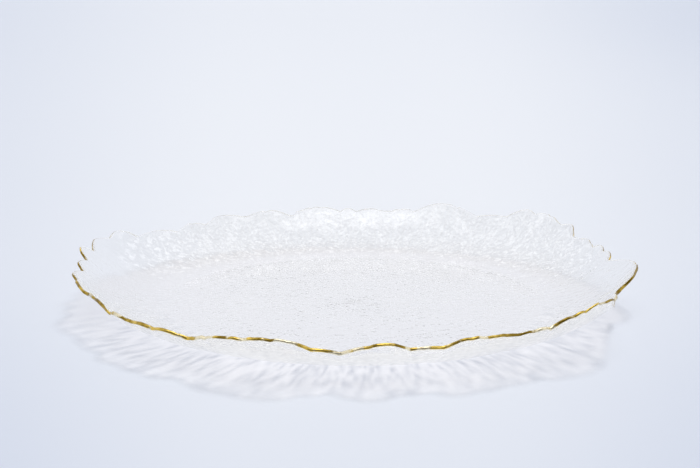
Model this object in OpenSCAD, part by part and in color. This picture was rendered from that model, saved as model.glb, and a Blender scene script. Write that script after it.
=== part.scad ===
// Dished charger plate of clear pressed glass with a scalloped, gilded edge.
// Millimetres. The plate stands on z = 0 and its axis is the z axis.

/* [Dish] */
// radius of the flat well
well_r = 108; // [96:1:118]
// glass thickness in the well
well_t = 3.6; // [3:0.1:5]
// radius of the curve that lifts the lip, on the upper face
lip_curve = 75.5; // [70:0.5:95]
// slope of the lip at its plain edge, degrees
lip_angle = 43; // [39:1:46]
// glass thickness at the plain edge
lip_t = 2; // [1.8:0.1:2.8]

/* [Foot] */
// height of the ring the plate rests on
foot_h = 0.8; // [0.6:0.1:2]
// width of the ring at the table
foot_w = 5; // [3:0.5:8]
// distance from the well's edge in to the ring
foot_inset = 2; // [1:0.5:6]

/* [Relief rings] */
// step between the raised rings under the glass
ring_pitch = 7; // [6:0.5:12]
// how far a ring stands out from the glass
ring_h = 0.5; // [0.3:0.05:0.6]
// radius of a ring's rounded back
ring_back = 1.1; // [0.9:0.1:1.6]

/* [Scalloped edge] */
// length that one unit of the scallop table stands for
scallop_unit = 1; // [0.5:0.05:1.1]
// longest step between points of the edge, degrees
edge_step = 1.5; // [1:0.25:3]

/* [Gilding] */
// thickness of the gold on the edge
gold_t = 0.3; // [0.2:0.05:0.6]

/* [Hidden] */
$fn = 96;

// One row per scallop: crest angle, crest reach, angle of the notch after it, notch reach.
// Reach is measured along the lip from the plain edge, in scallop units.
SCALLOPS = [
  [-1, 3.5, 12.5, -5.8],
  [16, -0.8, 17.5, -2.3],
  [20.5, 0.8, 22.5, -3],
  [26, 1.3, 31, -0.6],
  [34, 7.8, 37, 5.6],
  [43, 11, 45.5, 8.8],
  [48, 11.6, 52.5, 4],
  [55, 4, 60, 1.6],
  [69.5, 8.9, 75.5, 2.2],
  [78.5, 2.8, 83, 0.6],
  [86.5, 2.6, 89.5, 0.6],
  [92, 2.8, 94, 0.8],
  [99, 4.4, 106, -1.8],
  [111, 3.7, 117, 0.2],
  [123.5, 3.2, 128, -2],
  [132, 0.4, 137, -4],
  [143, 0.6, 149, -0.2],
  [154, 7.8, 158, 4.6],
  [163.5, 7.9, 167.5, 1.5],
  [171.5, 8.2, 173.5, -0.9],
  [178, 2.4, 181, -3.4],
  [188, 2.5, 190.5, -0.6],
  [192.5, 0, 198, -6],
  [203, -4.5, 212.5, -8],
  [217, -3, 222, -5.8],
  [226, -4, 228, -6.6],
  [231.5, -4, 236.5, -9.2],
  [247.5, 0.1, 249.5, -0.9],
  [253, 2.1, 255, 1.1],
  [256.5, 2.6, 262, -6.3],
  [263.5, -6.2, 267, -10.5],
  [275.5, 0.2, 280, -6.4],
  [282, -5.2, 286.5, -7],
  [290, 0.5, 291, -0.1],
  [292, 1, 294.5, -0.4],
  [296, 0, 301, -2.4],
  [303.5, -0.9, 305, -1.6],
  [306.5, -0.6, 308.5, -2.7],
  [311.5, 4.8, 313, 4.6],
  [314.5, 6.9, 315.5, 6.8],
  [318, 11, 320.5, 9.1],
  [322.5, 9.6, 328, 1.5],
  [328.5, 1.3, 336, -9],
  [336.5, -9.2, 346, -16.5],
  [350, -15, 352, -13]
];

// Heights of the well's two faces.
well_bottom = foot_h;
well_top = foot_h + well_t;

// The lip lies between two arcs whose centres stand over the well's edge.
// Moving the lower centre thins the glass from the well to the edge.
centre_drop = (well_t - lip_t) / (1 - cos(lip_angle));
under_curve = lip_curve + well_t - centre_drop;
upper_centre = well_top + lip_curve;
under_centre = upper_centre - centre_drop;

// Longest crest, and a box that holds the whole lip.
max_reach = max([for (s = SCALLOPS) s[1]]);
max_slope = slope_at(max_reach);
lip_box_r = well_r + lip_curve;
lip_box_z = edge_z(max_slope) + 2 * well_t;

// The edge is cut square to the lip: every cut runs to one point on the axis.
apex = edge_z(lip_angle) + edge_r(lip_angle) / tan(lip_angle);
cut_low = -foot_h;
cut_high = lip_box_z + well_t;

// Growth of the outline that leaves the gold its thickness square to the edge.
gold_grow = gold_t / cos(lip_angle);

// Foot ring and relief rings, with the room left at the foot and the slope left plain at the edge.
foot_out = well_r - foot_inset;
foot_in = foot_out - foot_w;
ring_clear = 2;
lip_ring_clear = 4;
flat_rings = floor((foot_in - ring_clear - ring_back) / ring_pitch);
lip_ring_step = ring_pitch / under_curve * 180 / PI;
lip_ring_last = slope_at(min([for (s = SCALLOPS) s[3]])) - lip_ring_clear;
lip_rings = floor(lip_ring_last / lip_ring_step);

// Slope of the lip where the edge stands out by the given reach.
function slope_at(reach) = lip_angle + scallop_unit * reach / lip_curve * 180 / PI;

// Radius and height of the upper face at a slope.
function edge_r(slope) = well_r + lip_curve * sin(slope);
function edge_z(slope) = well_top + lip_curve * (1 - cos(slope));

// Crests and notches as one list of [angle, reach], closed by the first crest.
function edge_knots() = concat(
  [for (s = SCALLOPS) for (k = [0, 2]) [s[k], s[k + 1]]],
  [[SCALLOPS[0][0] + 360, SCALLOPS[0][1]]]
);

// Between a notch and a crest the edge leaves the notch steeply and rounds over at the crest.
function ease(from, to, t) =
  from < to ? from + (to - from) * sin(90 * t) : to + (from - to) * cos(90 * t);

// Points of the edge as [angle, reach], with every crest and notch among them.
function edge_line() =
  let (knots = edge_knots())
  [
    for (i = [0 : len(knots) - 2])
      let (from = knots[i], to = knots[i + 1])
      let (steps = max(2, ceil((to[0] - from[0]) / edge_step)))
      for (k = [0 : steps - 1])
        [from[0] + (to[0] - from[0]) * k / steps, ease(from[1], to[1], k / steps)]
  ];

// Edge outline as it would meet the given height on its way to the apex.
function outline(z, grow) = [
  for (p = edge_line())
    let (slope = slope_at(p[1]))
    let (r = (edge_r(slope) + grow) * (apex - z) / (apex - edge_z(slope)))
    [r * cos(p[0]), r * sin(p[0])]
];

// Solid that leaves everything inside the scalloped edge.
module edge_cutter(grow) {
  translate([0, 0, cut_low])
    linear_extrude(height = cut_high - cut_low, scale = (apex - cut_high) / (apex - cut_low))
      polygon(outline(cut_low, grow));
}

// Section of the lip, from the well's edge outward.
module lip_section() {
  difference() {
    intersection() {
      translate([well_r, under_centre])
        circle(r = under_curve);
      translate([well_r, 0])
        square([lip_box_r - well_r, lip_box_z]);
    }
    translate([well_r, upper_centre])
      circle(r = lip_curve);
  }
}

// Section of the flat well and the foot ring under it.
module well_section() {
  translate([0, well_bottom])
    square([well_r, well_t]);
  translate([foot_in, 0])
    square([foot_w, foot_h + well_t / 2]);
}

// Sections of the raised rings under the well and the lip.
module ring_sections() {
  for (i = [1 : flat_rings])
    translate([i * ring_pitch, well_bottom + ring_back - ring_h])
      circle(r = ring_back);
  for (i = [1 : lip_rings])
    translate([well_r, under_centre])
      rotate(i * lip_ring_step - 90)
        translate([under_curve - ring_back + ring_h, 0])
          circle(r = ring_back);
}

// Pressed glass body.
module glass_plate() {
  color([0.86, 0.9, 0.93, 0.5])
    union() {
      rotate_extrude()
        union() {
          well_section();
          ring_sections();
        }
      intersection() {
        rotate_extrude()
          lip_section();
        edge_cutter(0);
      }
    }
}

// Gold painted and fired on the cut edge.
module gold_rim() {
  color([0.75, 0.56, 0.2])
    difference() {
      intersection() {
        rotate_extrude()
          lip_section();
        edge_cutter(gold_grow);
      }
      edge_cutter(0);
    }
}

glass_plate();
gold_rim();
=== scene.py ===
"""Pressed clear glass plate with a scalloped, gilded edge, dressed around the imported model."""

import logging
import math
from dataclasses import dataclass
from enum import Enum, IntEnum
from typing import Any, NamedTuple, Union

import bmesh
import bpy
import numpy as np
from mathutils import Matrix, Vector, noise


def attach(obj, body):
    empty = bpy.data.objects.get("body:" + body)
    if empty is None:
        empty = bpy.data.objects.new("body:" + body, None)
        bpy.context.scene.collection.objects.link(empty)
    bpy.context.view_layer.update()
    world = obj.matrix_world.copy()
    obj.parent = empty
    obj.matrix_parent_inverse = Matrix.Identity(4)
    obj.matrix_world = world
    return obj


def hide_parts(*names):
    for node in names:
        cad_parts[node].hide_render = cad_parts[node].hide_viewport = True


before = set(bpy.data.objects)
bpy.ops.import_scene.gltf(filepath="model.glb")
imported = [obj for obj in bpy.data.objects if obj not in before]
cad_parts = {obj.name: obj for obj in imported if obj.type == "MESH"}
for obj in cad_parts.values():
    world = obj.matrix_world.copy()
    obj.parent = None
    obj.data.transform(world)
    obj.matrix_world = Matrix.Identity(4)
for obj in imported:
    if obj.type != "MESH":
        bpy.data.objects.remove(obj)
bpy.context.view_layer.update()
MM = 0.001
COLUMNS = 576
TURN = 2.0 * math.pi
log = logging.getLogger("glass_plate")

Colour = tuple[float, float, float]
Point = tuple[float, float]


# Shader graphs

class Value:
    """A number socket that plain arithmetic can be written with."""

    def __init__(self, graph: "Graph", socket: bpy.types.NodeSocket) -> None:
        """Keeps the graph that new nodes go into, and the socket itself."""
        self.graph = graph
        self.socket = socket

    def math(self, operation: str, *others: "Number") -> "Value":
        """Adds one Math node.

        Args:
            operation: The node's operation.
            others: The second and third operands, where the operation has them.

        Returns:
            The node's result.
        """
        return self.graph.math(operation, self, *others)

    def __add__(self, other: "Number") -> "Value":
        """The sum of two values."""
        return self.graph.math("ADD", self, other)

    def __radd__(self, other: float) -> "Value":
        """The sum of a number and this value."""
        return self.graph.math("ADD", other, self)

    def __sub__(self, other: "Number") -> "Value":
        """This value less another."""
        return self.graph.math("SUBTRACT", self, other)

    def __rsub__(self, other: float) -> "Value":
        """A number less this value."""
        return self.graph.math("SUBTRACT", other, self)

    def __mul__(self, other: "Number") -> "Value":
        """The product of two values."""
        return self.graph.math("MULTIPLY", self, other)

    def __rmul__(self, other: float) -> "Value":
        """The product of a number and this value."""
        return self.graph.math("MULTIPLY", other, self)

    def __truediv__(self, other: "Number") -> "Value":
        """This value divided by another."""
        return self.graph.math("DIVIDE", self, other)

    def __rtruediv__(self, other: float) -> "Value":
        """A number divided by this value."""
        return self.graph.math("DIVIDE", other, self)

    def size(self) -> "Value":
        """This value without its sign."""
        return self.graph.math("ABSOLUTE", self)

    def ramp(self, low: float, high: float, start: float = 0.0, end: float = 1.0) -> "Value":
        """A smooth step of this value.

        Args:
            low: Where the step starts.
            high: Where the step ends.
            start: The result below the step.
            end: The result above it.

        Returns:
            The stepped value.
        """
        node = self.graph.add("ShaderNodeMapRange", {"interpolation_type": "SMOOTHSTEP"},
                              {"Value": self, "From Min": low, "From Max": high,
                               "To Min": start, "To Max": end})
        return self.graph.value(node, "Result")


Number = Union[Value, float]


class Graph:
    """The nodes of one material or of the world."""

    def __init__(self, tree: bpy.types.NodeTree) -> None:
        """Starts from an empty tree."""
        self.tree = tree
        tree.nodes.clear()

    def add(self, kind: str, settings: dict[str, Any] | None = None,
            sockets: dict[str | int, Any] | None = None) -> bpy.types.Node:
        """Adds a node of any type.

        Args:
            kind: The node's type.
            settings: Properties that are set first.
            sockets: Values or links of the node's inputs, by name or number.

        Returns:
            The new node.
        """
        node = self.tree.nodes.new(kind)
        for name, setting in (settings or {}).items():
            setattr(node, name, setting)
        for name, item in (sockets or {}).items():
            if isinstance(item, Value):
                item = item.socket
            if isinstance(item, bpy.types.NodeSocket):
                self.tree.links.new(item, node.inputs[name])
            else:
                node.inputs[name].default_value = item
        return node

    def math(self, operation: str, *operands: Number) -> Value:
        """Adds one Math node.

        Args:
            operation: The node's operation.
            operands: Its operands, in order.

        Returns:
            The node's result.
        """
        node = self.add("ShaderNodeMath", {"operation": operation}, dict(enumerate(operands)))
        return self.value(node, 0)

    def value(self, node: bpy.types.Node, output: str | int) -> Value:
        """One output of a node as a value."""
        return Value(self, node.outputs[output])

    def layer(self, name: str) -> Value:
        """A value that the mesh carries."""
        return self.value(self.add("ShaderNodeAttribute", {"attribute_name": name}), "Fac")

    def place(self) -> bpy.types.NodeSocket:
        """The point's place on the object."""
        return self.add("ShaderNodeTexCoord").outputs["Object"]

    def axes(self, vector: bpy.types.NodeSocket) -> list[Value]:
        """The three parts of a vector."""
        node = self.add("ShaderNodeSeparateXYZ", None, {0: vector})
        return [self.value(node, axis) for axis in "XYZ"]

    def noise(self, scale: float, detail: float = 3.0, roughness: float = 0.5) -> Value:
        """Noise over the object.

        Args:
            scale: Cells for each metre.
            detail: Octaves.
            roughness: How strong the fine octaves are.

        Returns:
            A value around one half.
        """
        node = self.add("ShaderNodeTexNoise", {"noise_dimensions": "3D"},
                        {"Vector": self.place(), "Scale": scale, "Detail": detail, "Roughness": roughness})
        return self.value(node, 0)

    def bump(self, strength: float, depth: float, height: Value) -> bpy.types.NodeSocket:
        """A normal that a pattern bends.

        Args:
            strength: How much of the bending shows.
            depth: Depth of the pattern, in metres.
            height: The pattern.

        Returns:
            The bent normal.
        """
        node = self.add("ShaderNodeBump", None, {"Strength": strength, "Distance": depth, "Height": height})
        return node.outputs[0]

    def mix(self, share: Number, first: Any, second: Any) -> bpy.types.NodeSocket:
        """Mixes two colours.

        Args:
            share: How much of the second there is.
            first: A colour or a colour socket.
            second: A colour or a colour socket.

        Returns:
            The mixed colour.
        """
        pair = [(*c, 1.0) if isinstance(c, tuple) else c for c in (first, second)]
        node = self.add("ShaderNodeMix", {"data_type": "RGBA"}, {0: share, 6: pair[0], 7: pair[1]})
        return node.outputs[2]

    def blend(self, share: Any, first: bpy.types.Node, second: bpy.types.Node) -> bpy.types.Node:
        """Mixes two shaders.

        Args:
            share: How much of the second there is.
            first: A shader's node.
            second: Another shader's node.

        Returns:
            The mixing node.
        """
        return self.add("ShaderNodeMixShader", None,
                        {0: share, 1: first.outputs[0], 2: second.outputs[0]})


def new_material(name: str) -> tuple[bpy.types.Material, Graph]:
    """A material with an empty graph.

    Args:
        name: The material's name.

    Returns:
        The material and its graph.
    """
    material = bpy.data.materials.new(name)
    material.use_nodes = True
    return material, Graph(material.node_tree)


# Finishes

@dataclass(frozen=True)
class ClearGlass:
    """Clear pressed glass: nearly colourless, with a fire-polished skin that isn't quite even."""

    clear: Colour = (0.996, 0.997, 0.998)
    smoky: Colour = (0.990, 0.992, 0.995)
    warm: Colour = (1.0, 0.985, 0.950)
    warm_share: float = 0.6
    # The dark mottled cells' colour is painted shade.
    shade_mottled: Colour = (0.890, 0.880, 0.865)
    cloud_scale: float = 22.0
    shade_mottle_scale: float = 430.0
    skin_scale: float = 170.0
    peel_scale: float = 240.0
    peel_depth: float = 0.00025
    peel_strength: float = 0.25
    polish: float = 0.01
    dulled: float = 0.05
    ior: float = 1.5
    lit: Colour = (1.205, 1.17, 1.13)
    veiled: Colour = (0.38, 0.395, 0.44)

    def tint(self, graph: Graph) -> bpy.types.NodeSocket:
        """The glass's colour: faint clouds, and where the mesh carries it a warm tint with dark mottled
        cells, which are painted shade.

        Args:
            graph: The graph to draw it in.

        Returns:
            The colour.
        """
        colour = graph.mix(graph.noise(self.cloud_scale).ramp(0.40, 0.72), self.clear, self.smoky)
        share = graph.layer("mottle_and_painted_shade")
        colour = graph.mix(share * self.warm_share, colour, self.warm)
        # Dark mottled cells: painted shade for the light and dark that the lip's relief throws.
        shade_cells = graph.noise(self.shade_mottle_scale, 1.5).ramp(0.46, 0.66) * share
        return graph.mix(shade_cells, colour, self.shade_mottled)

    def material(self) -> bpy.types.Material:
        """Makes the glass.

        Returns:
            The material. Lamps shine through it, less where the mesh's veil says that it bends them away.
        """
        material, graph = new_material("clear_glass")
        rough = graph.noise(self.skin_scale).ramp(0.42, 0.70, self.polish, self.dulled)
        peel = graph.bump(self.peel_strength, self.peel_depth, graph.noise(self.peel_scale, 2.0))
        glass = graph.add("ShaderNodeBsdfPrincipled", None,
                          {"Base Color": self.tint(graph), "Roughness": rough, "IOR": self.ior,
                           "Transmission Weight": 1.0, "Normal": peel})
        light = graph.add("ShaderNodeBsdfTransparent", None, {"Color": (*self.lit, 1.0)})
        dark = graph.add("ShaderNodeBsdfTransparent", None, {"Color": (*self.veiled, 1.0)})
        shadow = graph.blend(graph.layer("veil"), light, dark)
        path = graph.add("ShaderNodeLightPath")
        both = graph.blend(path.outputs["Is Shadow Ray"], glass, shadow)
        graph.add("ShaderNodeOutputMaterial", None, {"Surface": both.outputs[0]})
        return material


@dataclass(frozen=True)
class FiredGold:
    """Bright gold, brushed on by hand and fired: full in places, thin and brown in others, with pale bars of
    painted highlight and painted shade towards the plate's two ends.
    """

    full: Colour = (0.86, 0.615, 0.13)
    thin: Colour = (0.27, 0.175, 0.02)
    # The pale colour, laid in bars, is a painted highlight: cream where the rim catches the light overhead.
    pale: Colour = (1.0, 0.92, 0.68)
    highlight_share: float = 0.9
    ground: Colour = (0.99, 0.985, 0.97)
    pool_scale: float = 85.0
    highlight_bar_scale: float = 105.0
    # Painted shade: darker, thin-coloured gold towards the plate's two ends.
    side_shade_scale: float = 150.0
    side_shade_share: float = 0.85
    side_shade_from: tuple[float, float] = (0.115, 0.145)
    speck_scale: float = 620.0
    speck_share: float = 0.5
    grain_scale: float = 900.0
    grain_depth: float = 0.0002
    grain_strength: float = 0.5
    burnished: float = 0.08
    matt: float = 0.24

    def tint(self, graph: Graph, pools: Value, specks: Value) -> bpy.types.NodeSocket:
        """The gold's colour: pools of full gold, pale bars of painted highlight, and painted shade towards
        the plate's two ends.

        Args:
            graph: The graph to draw it in.
            pools: Where the gold lies thick.
            specks: Where it has small flaws.

        Returns:
            The colour.
        """
        colour = graph.mix(pools.ramp(0.40, 0.62), self.thin, self.full)
        # Pale bars along the gold: painted highlights.
        highlight_bars = graph.noise(self.highlight_bar_scale, 2.0).ramp(0.53, 0.60)
        colour = graph.mix(highlight_bars * self.highlight_share, colour, self.pale)
        # Painted shade: the gold darkens in patches towards the plate's two ends.
        x, _, _ = graph.axes(graph.place())
        side_shade = x.size().ramp(*self.side_shade_from) * graph.noise(self.side_shade_scale, 2.0).ramp(0.40, 0.54)
        colour = graph.mix(side_shade * self.side_shade_share, colour, self.thin)
        return graph.mix(specks.ramp(0.60, 0.80) * self.speck_share, colour, self.thin)

    def material(self) -> bpy.types.Material:
        """Makes the gilding.

        Returns:
            The material. Its side on the glass, which the mesh's veil marks, is a pale mirror.
        """
        material, graph = new_material("gilding")
        pools = graph.noise(self.pool_scale, 4.0, 0.6)
        specks = graph.noise(self.speck_scale, 2.0)
        inner = graph.layer("veil").ramp(0.2, 0.8)
        colour = graph.mix(inner, self.tint(graph, pools, specks), self.ground)
        rough = pools.ramp(0.35, 0.68, self.matt, self.burnished) + specks * 0.06
        grain = graph.bump(self.grain_strength, self.grain_depth, graph.noise(self.grain_scale, 2.0))
        gold = graph.add("ShaderNodeBsdfPrincipled", None,
                         {"Base Color": colour, "Metallic": 1.0, "Roughness": rough * (1.0 - 0.8 * inner),
                          "Normal": grain})
        graph.add("ShaderNodeOutputMaterial", None, {"Surface": gold.outputs[0]})
        return material


@dataclass(frozen=True)
class PaleSweep:
    """The pale, slightly blue paper that the plate stands on, with a painted falloff of light that darkens it
    away from the middle.
    """

    pale: Colour = (0.838, 0.857, 0.905)
    # The painted falloff's colour: the paper in painted shade.
    painted_falloff: Colour = (0.620, 0.665, 0.775)
    eye: float = 1.05
    sides: float = 0.55
    front: float = 0.5
    back: float = 0.12
    back_right: float = 0.2

    def material(self) -> bpy.types.Material:
        """Makes the paper.

        Returns:
            The material.
        """
        material, graph = new_material("pale_sweep")
        x, y, _ = graph.axes(graph.place())
        # Painted shade: the paper darkens towards the sides, the front, the far back and the back right, as
        # falling-off light would.
        off = x.size() / (y + self.eye).math("MAXIMUM", 0.3)
        painted_falloff_share = off.ramp(0.05, 0.26) * y.ramp(-0.75, -0.28) * self.sides
        painted_falloff_share = painted_falloff_share + y.ramp(0.15, -0.45) * self.front + y.ramp(0.4, 2.2) * self.back
        painted_falloff_share = painted_falloff_share + x.ramp(0.05, 0.6) * y.ramp(0.4, 1.8) * self.back_right
        paper = graph.add("ShaderNodeBsdfPrincipled", None,
                          {"Base Color": graph.mix(painted_falloff_share, self.pale, self.painted_falloff), "Roughness": 0.95,
                           "Specular IOR Level": 0.1})
        graph.add("ShaderNodeOutputMaterial", None, {"Surface": paper.outputs[0]})
        return material


# The plate's form

def smooth(low: float, high: float, value: float) -> float:
    """A smooth step.

    Args:
        low: Where the step starts.
        high: Where it ends.
        value: The value to step.

    Returns:
        0 before the step and 1 after it.
    """
    share = min(1.0, max(0.0, (value - low) / (high - low)))
    return share * share * (3.0 - 2.0 * share)


def chance(first: int, second: int) -> float:
    """A number from 0 to 1 that is fixed for each pair of counts."""
    return noise.cell(Vector((first + 0.5, second + 0.5, 0.5)))


@dataclass(frozen=True)
class DishForm:
    """Sizes that the glass and its gilding share, in millimetres."""

    well_r: float = 108.0
    base_z: float = 0.8
    well_t: float = 3.6
    lip_curve: float = 75.5
    lip_angle: float = math.radians(43.0)
    lip_t: float = 2.0
    lip_width: float = 52.0
    round_over: float = 0.45

    @property
    def drop(self) -> float:
        """How far the under face's centre lies below the upper one's."""
        return (self.well_t - self.lip_t) / (1.0 - math.cos(self.lip_angle))

    @property
    def top_z(self) -> float:
        """Height of the well's upper face."""
        return self.base_z + self.well_t

    @property
    def centre_z(self) -> float:
        """Height of the centre that the lip's upper face turns about."""
        return self.top_z + self.lip_curve

    def depth(self, slope: float) -> float:
        """Thickness of the lip, square to its upper face.

        Args:
            slope: The lip's slope there.

        Returns:
            The thickness.
        """
        under = self.lip_curve + self.well_t - self.drop
        across = self.drop * math.sin(slope)
        return self.drop * math.cos(slope) + math.sqrt(under ** 2 - across ** 2) - self.lip_curve

    def lip_point(self, slope: float, share: float, lift: float) -> Point:
        """A point in or on the lip.

        Args:
            slope: The lip's slope there.
            share: 0 on the upper face, 1 on the under face.
            lift: How far it is moved outwards, away from the dish.

        Returns:
            Its radius and height.
        """
        reach = self.lip_curve + share * self.depth(slope) + lift
        return self.well_r + reach * math.sin(slope), self.centre_z - reach * math.cos(slope)

    def edge_point(self, end: float, around: float, lift: float, bend: float = 0.0) -> Point:
        """A point on the rounded end of the lip.

        Args:
            end: The slope at which the lip ends.
            around: Angle round the end, from -90 degrees below to 90 above.
            lift: How far it stands off the glass.
            bend: How far the whole lip is bent outwards there.

        Returns:
            Its radius and height.
        """
        reach = self.round_over / self.lip_curve
        slope = end - reach * (1.0 - math.cos(around)) + lift * math.cos(around) / self.lip_curve
        share = 0.5 * (1.0 - math.sin(around))
        return self.lip_point(slope, share, bend - lift * math.sin(around))

    def over_lip(self, angle: float, along: float, level: float = 0.0) -> Vector:
        """A place for patterns that run over the lip.

        Args:
            angle: Angle round the plate.
            along: Place on the lip, from 0 at the well to 1 at the edge.
            level: Which layer of the pattern to take.

        Returns:
            The place, in millimetres.
        """
        reach = self.well_r + self.lip_width * along
        return Vector((reach * math.cos(angle), reach * math.sin(angle), level))


class EdgeLine:
    """The slope at which the lip ends, and how far it is bent there, all the way round."""

    # The deep notch as angles in degrees and reaches in millimetres, and the bend in the same units.
    DEEP_NOTCH = ((324.0, 7.8), (326.0, 3.2), (328.0, 0.5), (330.0, -2.0), (332.0, -4.5), (334.0, -7.0),
                  (336.0, -9.0), (340.0, -11.8), (344.0, -13.5), (346.0, -12.5), (350.0, -12.7),
                  (352.0, -9.0), (354.0, -1.0), (356.0, 2.0), (358.0, 3.3))
    BEND = ((197.0, 0.0), (199.8, -1.7), (206.5, -2.0), (209.0, -1.2), (212.0, 0.0))

    # How close a packed vertex lies to the upper face, and how far apart two turns of the edge are.
    ON_FACE = 0.02
    NEXT_TURN = 0.0008

    def __init__(self, form: DishForm, teeth: int = 112, nick: float = 1.5, bumps: int = 84,
                 crinkle: float = 2.0) -> None:
        """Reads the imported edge, redraws its deep notch and nibbles it.

        Args:
            form: The plate's sizes.
            teeth: How many small nicks there are round the edge.
            nick: Depth of a full nick, in millimetres.
            bumps: How many round bumps the far side's crinkled edge would have all round.
            crinkle: Depth of the notches between them, in millimetres.
        """
        self.form = form
        self.teeth, self.nick = teeth, nick
        self.bumps, self.crinkle = bumps, crinkle
        columns = np.arange(COLUMNS) * TURN / COLUMNS
        self.ends = self.packed(columns)
        turns, reaches = np.array(self.DEEP_NOTCH).T
        notch = (columns >= math.radians(turns[0])) & (columns <= math.radians(turns[-1]))
        reach = np.interp(np.degrees(columns[notch]), turns, reaches)
        self.ends[notch] = form.lip_angle + reach / form.lip_curve
        self.bends = np.interp(np.degrees(columns), *np.array(self.BEND).T)
        for column, angle in enumerate(columns):
            self.ends[column] -= self.nibble(column, angle) / form.lip_curve

    def packed(self, columns: np.ndarray) -> np.ndarray:
        """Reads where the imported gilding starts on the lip's upper face.

        Args:
            columns: Angles round the plate.

        Returns:
            The lip's slope at each of them.
        """
        form = self.form
        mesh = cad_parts["gold_rim"].data
        flat = np.empty(3 * len(mesh.vertices), dtype=np.float32)
        mesh.vertices.foreach_get("co", flat)
        x, y, z = flat.reshape(-1, 3).astype(float).T / MM
        radius = np.hypot(x, y)
        off_face = np.abs(np.hypot(radius - form.well_r, z - form.centre_z) - form.lip_curve)
        upper = off_face < self.ON_FACE
        turn = np.arctan2(y, x)[upper]
        slope = np.arcsin((radius[upper] - form.well_r) / form.lip_curve)
        order = np.argsort(turn)
        starts = np.flatnonzero(np.diff(turn[order], prepend=-10.0) > self.NEXT_TURN)
        inner = np.minimum.reduceat(slope[order], starts)
        return np.interp(columns, turn[order][starts], inner, period=TURN)

    def nibble(self, column: int, angle: float) -> float:
        """What is missing from the edge: sharp nicks on the near side, gaps between bumps on the far one.

        Args:
            column: The column's number.
            angle: Its angle round the plate.

        Returns:
            The depth that is missing, in millimetres.
        """
        around = Vector((math.cos(angle), math.sin(angle), 0.3)) * 9.0
        place = column * self.teeth / COLUMNS + 0.9 * noise.noise(around)
        tooth = math.floor(place)
        depth = chance(tooth % self.teeth, 3)
        ramp = place - tooth if chance(tooth % self.teeth, 8) > 0.5 else 1.0 - place + tooth
        bump = column * self.bumps / COLUMNS + 1.1 * noise.noise(around * 0.7)
        size = 0.3 + 0.7 * chance(math.floor(bump) % self.bumps, 5)
        dip = size * (1.0 - math.sqrt(math.sin(math.pi * (bump % 1.0))))
        far = smooth(0.0, 0.5, math.sin(angle))
        return self.nick * depth * depth * ramp ** 1.5 * (1.0 - far) + self.crinkle * dip * far


class Zone(IntEnum):
    """Which face of the plate a row of vertices lies on."""

    UNDER = 0
    UNDER_LIP = 1
    EDGE = 2
    UPPER_LIP = 3
    UPPER = 4


class Row(NamedTuple):
    """One row of the section: where it lies, and its place along its face."""

    radius: float
    height: float
    zone: Zone
    along: float = 0.0
    crest: int = 0


class Spot(NamedTuple):
    """A vertex of the spun section, and what it stands for."""

    vert: bmesh.types.BMVert
    zone: Zone
    row: int
    column: int
    angle: float
    along: float
    crest: int

    def put(self, radius: float, height: float) -> None:
        """Moves the vertex to a radius and height, in millimetres."""
        self.vert.co = Vector((radius * math.cos(self.angle), radius * math.sin(self.angle), height)) * MM


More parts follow.
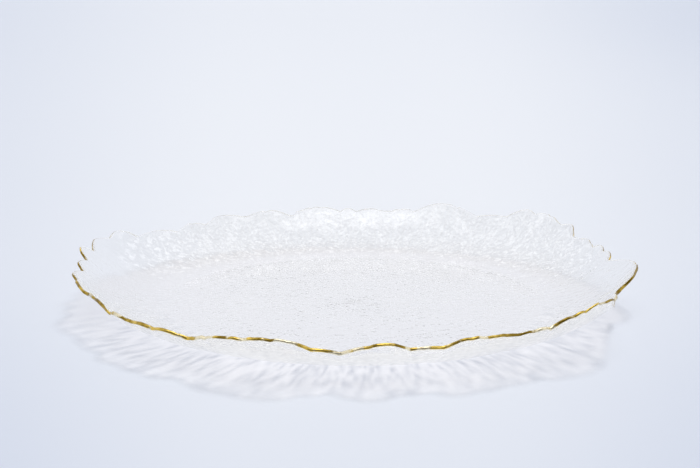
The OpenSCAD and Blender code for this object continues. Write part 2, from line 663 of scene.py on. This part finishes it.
class Section:
    """A bmesh that is spun from strips of rows, each with its own number of columns."""

    FINE = 288
    CUTS = 7

    def __init__(self) -> None:
        """Starts an empty mesh with layers for what each vertex stands for."""
        self.bm = bmesh.new()
        layers = self.bm.verts.layers
        self.zone = layers.int.new("zone")
        self.row = layers.int.new("row")
        self.crest = layers.int.new("crest")
        self.columns = layers.int.new("columns")
        self.along = layers.float.new("along")
        self.veil = layers.float.new("veil")
        self.mottle_and_painted_shade = layers.float.new("mottle_and_painted_shade")
        self.rows = 0
        self.ends: list[tuple[int, int]] = []

    def strip(self, rows: list[Row], columns: int, closed: bool = False) -> None:
        """Spins one strip of rows round the plate's axis.

        Args:
            rows: The section, in order.
            columns: Steps in the turn. A fine strip is spun in eighths of them and then divided.
            closed: Whether the section closes on itself.
        """
        bm = self.bm
        cuts = self.CUTS if columns >= self.FINE else 0
        wire = []
        first = self.rows
        for row in rows:
            vert = bm.verts.new((row.radius * MM, 0.0, row.height * MM))
            vert[self.zone], vert[self.row] = int(row.zone), self.rows
            vert[self.crest], vert[self.columns], vert[self.along] = row.crest, columns, row.along
            wire.append(vert)
            self.rows += 1
        edges = [bm.edges.new(pair) for pair in zip(wire, wire[1:])]
        if closed:
            edges.append(bm.edges.new((wire[-1], wire[0])))
        bmesh.ops.spin(bm, geom=wire + edges, cent=(0, 0, 0), axis=(0, 0, 1), dvec=(0, 0, 0),
                       angle=TURN, steps=columns // (cuts + 1), use_merge=True, use_duplicate=False)
        self.ends.append((first, self.rows - 1))
        if cuts:
            rounds = [edge for edge in bm.edges
                      if edge.verts[0][self.row] == edge.verts[1][self.row] >= first]
            bmesh.ops.subdivide_edges(bm, edges=rounds, cuts=cuts, use_grid_fill=True)

    def spots(self) -> list[Spot]:
        """Every vertex with what it stands for.

        Returns:
            The vertices, each with its column's number and exact angle.
        """
        spots = []
        for vert in self.bm.verts:
            columns = vert[self.columns]
            column = round(math.atan2(vert.co.y, vert.co.x) / TURN * columns) % columns
            spots.append(Spot(vert, Zone(vert[self.zone]), vert[self.row], column, column * TURN / columns,
                              vert[self.along], vert[self.crest]))
        return spots

    def bridge(self) -> None:
        """Joins each strip's last row to the next one's first."""
        for (_, last), (first, _) in zip(self.ends, self.ends[1:]):
            rims = [edge for edge in self.bm.edges if edge.is_boundary
                    and edge.verts[0][self.row] == edge.verts[1][self.row]
                    and edge.verts[0][self.row] in (last, first)]
            bmesh.ops.bridge_loops(self.bm, edges=rims)

    def finish(self, name: str, material: bpy.types.Material) -> bpy.types.Object:
        """Welds, turns the faces outwards and makes the object.

        Args:
            name: The object's name.
            material: Its finish.

        Returns:
            The object, at the origin.
        """
        bm = self.bm
        bmesh.ops.remove_doubles(bm, verts=bm.verts[:], dist=1e-7)
        bmesh.ops.recalc_face_normals(bm, faces=bm.faces[:])
        for face in bm.faces:
            face.smooth = True
        mesh = bpy.data.meshes.new(name)
        bm.to_mesh(mesh)
        bm.free()
        for layer in ("zone", "row", "crest", "columns", "along"):
            mesh.attributes.remove(mesh.attributes[layer])
        mesh.materials.append(material)
        piece = bpy.data.objects.new(name, mesh)
        bpy.context.scene.collection.objects.link(piece)
        return piece


# The pieces

class PipBand(NamedTuple):
    """A band of the underside: where it ends, and how many pips stand in each ring of it."""

    outer: float
    pips: int


@dataclass
class GlassBody:
    """The glass: a flat well, a rising lip, and pips pressed into the underside. In millimetres."""

    form: DishForm
    edge: EdgeLine
    pitch: float = 3.3
    land: float = 0.42
    hollow: Point = (40.0, 98.0)
    well_pip: float = 0.31
    well_rib: float = 0.35
    lip_pip: float = 0.42
    lip_rings: int = 17
    lip_steps: int = 40
    swell: float = 0.9
    swell_length: float = 20.0
    ripple: float = 0.09
    ripple_length: float = 3.8
    plain_veil: float = 0.25
    edge_veil: float = 0.6
    bands: tuple[PipBand, ...] = (PipBand(9.9, 18), PipBand(19.8, 36), PipBand(36.3, 72),
                                  PipBand(75.9, 144), PipBand(107.25, 288))
    edge_turns: tuple[int, ...] = (-72, -50, -25, 0, 25, 50, 72)
    upper_outer: tuple[float, ...] = (100.0, 88.0, 74.0, 58.0, 42.0)
    upper_inner: tuple[float, ...] = (30.0, 18.0, 8.0, 0.0)

    def under_rows(self, inner: float, outer: float) -> list[Row]:
        """Rows of the flat underside, two for each ring of pips.

        Args:
            inner: Radius after which they start.
            outer: Radius at which they end.

        Returns:
            The rows, from the inside out.
        """
        step = self.pitch / 2.0
        first, last = round(inner / step), round(outer / step)
        return [Row(k * step, self.form.base_z, Zone.UNDER, crest=k % 2)
                for k in range(first + 1 if first else 0, last + 1)]

    def lip_rows(self) -> list[Row]:
        """The lip's section: up the under face, round the edge and down the upper face.

        Returns:
            The rows, for a plain edge.
        """
        form, nominal = self.form, self.form.lip_angle
        under, upper = 2 * self.lip_rings, self.lip_steps
        rows = [Row(*form.lip_point(nominal * k / under, 1.0, 0.0), Zone.UNDER_LIP, k / under, 1 - k % 2)
                for k in range(1, under + 1)]
        rows += [Row(*form.edge_point(nominal, math.radians(a), 0.0), Zone.EDGE, math.radians(a))
                 for a in self.edge_turns]
        rows += [Row(*form.lip_point(nominal * k / upper, 0.0, 0.0), Zone.UPPER_LIP, k / upper)
                 for k in range(upper, -1, -1)]
        return rows

    def build(self, material: bpy.types.Material) -> bpy.types.Object:
        """Makes the glass.

        Args:
            material: Its finish.

        Returns:
            The object.
        """
        section = Section()
        inner = 0.0
        for band in self.bands[:-1]:
            section.strip(self.under_rows(inner, band.outer), 2 * band.pips)
            inner = band.outer
        section.strip(self.under_rows(inner, self.bands[-1].outer) + self.lip_rows(), COLUMNS)
        for radii, columns in ((self.upper_outer, COLUMNS // 4), (self.upper_inner, COLUMNS // 16)):
            section.strip([Row(r, self.form.top_z, Zone.UPPER) for r in radii], columns)
        section.bridge()
        self.press(section)
        return section.finish("pressed_glass", material)

    def press(self, section: Section) -> None:
        """Moves the spun section to its scalloped end, and presses the pips and the soft waves into it.

        Args:
            section: The section.
        """
        for spot in section.spots():
            spot.vert[section.veil] = self.plain_veil
            if spot.zone is Zone.UNDER:
                self.press_well(spot)
            elif spot.zone is Zone.UNDER_LIP:
                self.press_under_lip(section, spot)
            elif spot.zone is Zone.EDGE:
                self.round_edge(section, spot)
            elif spot.zone is Zone.UPPER_LIP:
                self.wave_upper_lip(section, spot)

    def press_well(self, spot: Spot) -> None:
        """Presses the well's pips, lower at the plate's two ends and higher in front and in the middle.

        Args:
            spot: The vertex.
        """
        form, side = self.form, abs(math.cos(spot.angle))
        radius = math.hypot(spot.vert.co.x, spot.vert.co.y) / MM
        strength = 1.0 - 0.35 * side * smooth(60.0, 100.0, radius)
        strength += 0.45 * smooth(0.3, 0.9, -math.sin(spot.angle)) * smooth(35.0, 80.0, radius)
        strength += 0.7 * (1.0 - smooth(8.0, 26.0, radius))
        rise = (form.base_z - self.land) * (1.0 - smooth(*self.hollow, radius))
        spot.put(radius, max(0.0, self.land + rise - strength * self.pip(spot, self.well_pip, self.well_rib)))

    def press_under_lip(self, section: Section, spot: Spot) -> None:
        """Presses the pips under the lip, and marks where it bends light away and where its colour gets
        painted shade as mottling.

        Args:
            section: The section, for its layers.
            spot: The vertex.
        """
        form, angle, along = self.form, spot.angle, spot.along
        near, lively, side = self.near(angle), self.lively(angle), abs(math.cos(angle))
        strength = (1.0 - 0.7 * (1.0 - lively) * smooth(0.3, 0.8, along)) * min(1.0, (1.0 - along) * 12.0)
        strength *= 1.0 - 0.5 * side * (1.0 - smooth(0.3, 0.8, along))
        rib = 0.4 + 0.3 * math.cos(angle) + 0.3 * smooth(0.1, 0.7, math.sin(angle))
        pip = strength * self.pip(spot, self.lip_pip * (1.0 + 0.6 * lively), rib)
        blend = (form.base_z - self.land) * (1.0 - smooth(0.0, 0.4, along))
        radius, height = form.lip_point(self.slope(spot), 1.0, self.wave(spot) + pip + blend)
        spot.put(radius, max(0.0, height))
        # Painted shade: the mottle mask darkens the near side a little, and the valleys between pips most
        # where the relief is lively.
        valley = 1.0 - 0.8 * (spot.column % 2)
        spot.vert[section.veil] += near * self.streak(angle, along)
        spot.vert[section.mottle_and_painted_shade] = max(0.1 * near, lively * valley) * smooth(0.1, 0.5, along)

    def round_edge(self, section: Section, spot: Spot) -> None:
        """Rounds the lip's end, which shades the floor most on the near side.

        Args:
            section: The section, for its layers.
            spot: The vertex.
        """
        soft = 1.0 - 0.7 * smooth(0.3, 0.8, math.cos(spot.angle))
        spot.vert[section.veil] += (self.edge_veil - self.plain_veil) * self.near(spot.angle) * soft
        end, bend = self.edge.ends[spot.column], self.edge.bends[spot.column]
        spot.put(*self.form.edge_point(end, spot.along, 0.0, bend))

    def wave_upper_lip(self, section: Section, spot: Spot) -> None:
        """Lays the lip's upper face, with its waves and ripples, and marks where its colour gets painted
        shade as mottling.

        Args:
            section: The section, for its layers.
            spot: The vertex.
        """
        angle, along = spot.angle, spot.along
        spot.put(*self.form.lip_point(self.slope(spot), 0.0, self.wave(spot) + self.skin(angle, along)))
        # Painted shade: the mottle mask darkens the near side a little and the lively far side more.
        shown = max(0.1 * self.near(angle), self.lively(angle))
        spot.vert[section.mottle_and_painted_shade] = shown * smooth(0.1, 0.5, along)

    def slope(self, spot: Spot) -> float:
        """The lip's slope at a vertex of one of its faces."""
        return spot.along * (self.edge.ends[spot.column] - self.form.round_over / self.form.lip_curve)

    def near(self, angle: float) -> float:
        """How far an angle lies round to the near side, from 0 to 1."""
        return smooth(0.3, -0.5, math.sin(angle))

    def lively(self, angle: float) -> float:
        """How strong the lip's relief is: full at the far side, less at the right, faint at the left."""
        return smooth(0.0, 0.8, math.sin(angle) + 0.15 * math.cos(angle))

    def streak(self, angle: float, along: float) -> float:
        """How much light the lip's relief bends away from the floor below, in rays.

        Args:
            angle: Angle round the plate.
            along: Place on the lip, from 0 at the well to 1 at the edge.

        Returns:
            What it adds to the plain glass's share.
        """
        around = Vector((math.cos(angle), math.sin(angle), 0.0))
        fine = noise.noise(around * 80.0 + Vector((0.0, 0.0, along * 5.0)))
        broad = noise.noise(around * 20.0 + Vector((4.7, 0.0, along * 1.2)))
        side = math.cos(angle)
        rays = 0.9 * fine + 0.35 * broad * math.sqrt(along) - 0.06
        rays += 0.08 * smooth(0.2, 0.9, side) + 0.06 * smooth(0.4, 0.9, -side)
        rim = 0.25 - 0.17 * smooth(0.3, 0.8, side)
        return max(-self.plain_veil, rays + rim * smooth(0.88, 1.0, along))

    def pip(self, spot: Spot, height: float, rib: float) -> float:
        """How far a vertex of the underside is pressed out.

        Args:
            spot: The vertex.
            height: Height of a full pip.
            rib: Share of that height that is left between the pips of one column.

        Returns:
            The height there, in millimetres.
        """
        ring = spot.row // 2
        uneven = 0.78 + 0.34 * chance(ring, spot.column // 2) + 0.16 * (ring % 2)
        if spot.column % 2:
            return height * uneven * (1.0 if spot.crest else rib)
        between = 0.25 + 0.5 * math.cos(spot.angle) ** 2 if ring else 0.25
        return height * between * uneven if spot.crest else 0.0

    def wave(self, spot: Spot) -> float:
        """How far the lip's soft waves and its bend move a vertex outwards, in millimetres.

        Args:
            spot: A vertex of one of the lip's faces.

        Returns:
            The distance.
        """
        angle, along = spot.angle, spot.along
        place = self.form.over_lip(angle, along) / self.swell_length
        fade = along ** 1.5 * min(1.0, (1.0 - along) * 9.0)
        waves = noise.noise(place) + 0.6 * self.lively(angle) * noise.noise(place * 1.8)
        return self.swell * fade * waves + self.edge.bends[spot.column] * along ** 2

    def skin(self, angle: float, along: float) -> float:
        """The fire-polished upper face's small ripples.

        Args:
            angle: Angle round the plate.
            along: Place on the lip, from 0 at the well to 1 at the edge.

        Returns:
            How far the face is moved outwards, in millimetres.
        """
        place = self.form.over_lip(angle, along, 20.0) / self.ripple_length
        fade = smooth(0.05, 0.45, along) * min(1.0, (1.0 - along) * 9.0)
        return self.ripple * (1.0 + 5.0 * self.lively(angle)) * fade * noise.noise(place)


@dataclass
class Gilding:
    """The gold on the lip's rounded end, brushed on by hand.

    Its sizes are in millimetres, its limits round the end in degrees, and the deep notch, where it
    narrows, is given as turns round the plate in radians.
    """

    form: DishForm
    edge: EdgeLine
    bite: float = 0.03
    thickness: float = 0.16
    low: float = -76.0
    high: float = 36.0
    uneven: float = 36.0
    far_low: float = -66.0
    far_high: float = -2.0
    lowest: float = -88.0
    highest: float = 64.0
    far_highest: float = 10.0
    narrowest: float = 30.0
    notch_narrowest: float = 20.0
    notch_turns: tuple[Point, Point] = ((5.67, 5.72), (6.02, 5.97))
    notch_share: float = 0.65
    steps: int = 8

    def build(self, material: bpy.types.Material) -> bpy.types.Object:
        """Makes the gilding as one thin closed band.

        Args:
            material: Its finish.

        Returns:
            The object.
        """
        shares = [k / self.steps for k in range(self.steps + 1)]
        rows = [Row(160.0 + k, 20.0 + k, Zone.EDGE, k, 1) for k in shares]
        rows += [Row(159.0 + k, 20.0 + k, Zone.EDGE, k, 0) for k in reversed(shares)]
        section = Section()
        section.strip(rows, COLUMNS, closed=True)
        for spot in section.spots():
            low, high = self.limits(spot.angle)
            body = self.thickness * math.sqrt(max(0.0, 1.0 - (2.0 * spot.along - 1.0) ** 2))
            lift = body + self.bite if spot.crest else -self.bite
            spot.vert[section.veil] = 0.0 if spot.crest else 1.0
            around = math.radians(low + (high - low) * spot.along)
            end, bend = self.edge.ends[spot.column], self.edge.bends[spot.column]
            spot.put(*self.form.edge_point(end, around, lift, bend))
        return section.finish("gilded_edge", material)

    def limits(self, angle: float) -> Point:
        """How far the gold reaches round the end. It is narrower on the far side and in the deep notch.

        Args:
            angle: Angle round the plate.

        Returns:
            Its lower and upper limit, in degrees round the end.
        """
        place = Vector((math.cos(angle), math.sin(angle), 0.0)) * 14.0
        far = smooth(-0.2, 0.6, math.sin(angle))
        ragged = [noise.noise(place + shift) + 0.5 * noise.noise(place * 3.1 + shift)
                  for shift in (Vector((0.0, 0.0, 0.0)), Vector((0.0, 0.0, 7.3)))]
        low = self.low + (self.far_low - self.low) * far + self.uneven * 0.5 * ragged[0]
        high = self.high + (self.far_high - self.high) * far + self.uneven * (1.0 - 0.6 * far) * ragged[1]
        start, stop = self.notch_turns
        notch = smooth(*start, angle) * smooth(*stop, angle)
        high -= self.notch_share * (high - low) * notch
        top = self.highest + (self.far_highest - self.highest) * far
        least = self.narrowest + (self.notch_narrowest - self.narrowest) * notch
        return max(low, self.lowest), max(low + least, min(high, top))


# The studio

class Sun(NamedTuple):
    """A lamp: the direction it shines from, its angular size in degrees, its strength and its colour."""

    towards: Colour
    size: float
    strength: float
    colour: Colour


class Lamp(Enum):
    """The two lamps."""

    KEY = Sun((0.28, 0.66, 1.0), 14.0, 1.75, (1.0, 0.99, 0.97))
    OVERHEAD = Sun((0.0, -0.05, 1.0), 45.0, 0.55, (1.0, 1.0, 1.0))


@dataclass
class Studio:
    """Floor, lamps, surroundings and camera. In metres and degrees."""

    floor_half: float = 9.0
    floor_drop: float = 0.00005
    ambient: Colour = (0.39, 0.405, 0.43)
    backdrop: Colour = (0.800, 0.810, 0.838)
    dim: Colour = (0.22, 0.22, 0.23)
    glass_skips: float = 0.75
    shade: Colour = (0.58, 0.58, 0.59)
    panel: Colour = (1.9, 1.9, 1.9)
    panel_rows: float = 40.0
    panel_columns: float = 24.0
    softbox: Colour = (2.8, 2.8, 2.8)
    bounces: int = 200
    camera_distance: float = 0.9625
    camera_rise: float = 14.9
    camera_pitch: float = 12.356
    camera_yaw: float = 0.198
    sensor: float = 36.0
    lens: float = 84.86

    def floor(self, material: bpy.types.Material) -> None:
        """Lays the floor just under the plate.

        Args:
            material: Its finish.
        """
        bm = bmesh.new()
        bmesh.ops.create_grid(bm, x_segments=4, y_segments=4, size=self.floor_half)
        bmesh.ops.translate(bm, verts=bm.verts[:], vec=(0.0, 0.0, -self.floor_drop))
        mesh = bpy.data.meshes.new("floor")
        bm.to_mesh(mesh)
        bm.free()
        mesh.materials.append(material)
        floor = bpy.data.objects.new("floor", mesh)
        bpy.context.scene.collection.objects.link(floor)

    def lamps(self) -> None:
        """Hangs the lamps, which light the scene without showing in the glass."""
        for lamp in Lamp:
            sun = lamp.value
            light = bpy.data.lights.new(lamp.name.lower(), "SUN")
            light.angle = math.radians(sun.size)
            light.energy = sun.strength
            light.color = sun.colour
            stand = bpy.data.objects.new(lamp.name.lower(), light)
            stand.rotation_euler = Vector(sun.towards).to_track_quat("Z", "Y").to_euler()
            stand.visible_glossy = stand.visible_transmission = False
            bpy.context.scene.collection.objects.link(stand)

    def surroundings(self) -> None:
        """Makes the world: an even light, and the pale studio that the glass and the gold show."""
        world = bpy.data.worlds.new("studio")
        bpy.context.scene.world = world
        world.use_nodes = True
        world.cycles.sampling_method = "NONE"
        graph = Graph(world.node_tree)
        path = graph.add("ShaderNodeLightPath")
        shown = graph.add("ShaderNodeBackground", None, {"Color": self.view(graph, path), "Strength": 1.0})
        light = graph.add("ShaderNodeBackground", None, {"Color": (*self.ambient, 1.0), "Strength": 1.0})
        direct = 1.0 - graph.value(path, "Diffuse Depth").math("MINIMUM", 1.0)
        either = graph.blend(direct, light, shown)
        graph.add("ShaderNodeOutputWorld", None, {"Surface": either.outputs[0]})

    def view(self, graph: Graph, path: bpy.types.Node) -> bpy.types.NodeSocket:
        """What is seen of the studio: a backdrop, panels above it, a dim front and a softbox overhead.

        Args:
            graph: The world's graph.
            path: Its Light Path node, which tells what is seen through the glass.

        Returns:
            The colour in each direction.
        """
        x, y, z = graph.axes(graph.add("ShaderNodeTexCoord").outputs["Generated"])
        panels = (z * self.panel_rows).math("SINE") * (x * self.panel_columns).math("SINE")
        above = graph.mix(panels.ramp(0.1, 0.6), self.shade, self.panel)
        seen = graph.mix(z.ramp(0.42, 0.60), self.backdrop, above)
        bare = 1.0 - self.glass_skips * graph.value(path, "Transmission Depth").math("MINIMUM", 1.0)
        front = bare * y.ramp(-0.25, -0.55) * z.ramp(0.92, 0.75) * z.ramp(-0.05, 0.10)
        seen = graph.mix(front, seen, self.dim)
        height = z.math("MAXIMUM", 0.001)
        off = (0.5 * x / height).size().math("MAXIMUM", (y / height + 0.2).size())
        return graph.mix(off.ramp(0.10, 0.26, 1.0, 0.0), seen, self.softbox)

    def camera(self) -> None:
        """Sets the camera where the photograph was taken from."""
        data = bpy.data.cameras.new("camera")
        data.sensor_width = self.sensor
        data.lens = self.lens
        data.clip_start, data.clip_end = 0.01, 60.0
        camera = bpy.data.objects.new("camera", data)
        rise = math.radians(self.camera_rise)
        camera.location = Vector((0.0, -math.cos(rise), math.sin(rise))) * self.camera_distance
        camera.rotation_euler = (math.radians(90.0 - self.camera_pitch), 0.0, math.radians(self.camera_yaw))
        bpy.context.scene.collection.objects.link(camera)
        bpy.context.scene.camera = camera

    def build(self) -> None:
        """Sets up everything around the plate."""
        bpy.context.scene.view_settings.view_transform = "Standard"
        cycles = bpy.context.scene.cycles
        cycles.max_bounces = cycles.glossy_bounces = cycles.transmission_bounces = self.bounces
        cycles.blur_glossy = 0.0
        self.camera()
        self.floor(PaleSweep().material())
        self.lamps()
        self.surroundings()


def stand_for(piece: bpy.types.Object, node: str) -> None:
    """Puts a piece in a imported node's place.

    Args:
        piece: The finished piece.
        node: The node that it replaces.
    """
    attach(piece, "root")
    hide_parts(node)
    log.info("%s: %d faces, stands for %s", piece.name, len(piece.data.polygons), node)


def main() -> None:
    """Builds the studio, the glass and the gilding."""
    logging.basicConfig(level=logging.INFO, format="%(name)s: %(message)s")
    Studio().build()
    form = DishForm()
    edge = EdgeLine(form)
    stand_for(GlassBody(form, edge).build(ClearGlass().material()), "glass_plate")
    stand_for(Gilding(form, edge).build(FiredGold().material()), "gold_rim")


if __name__ == "__main__":
    main()
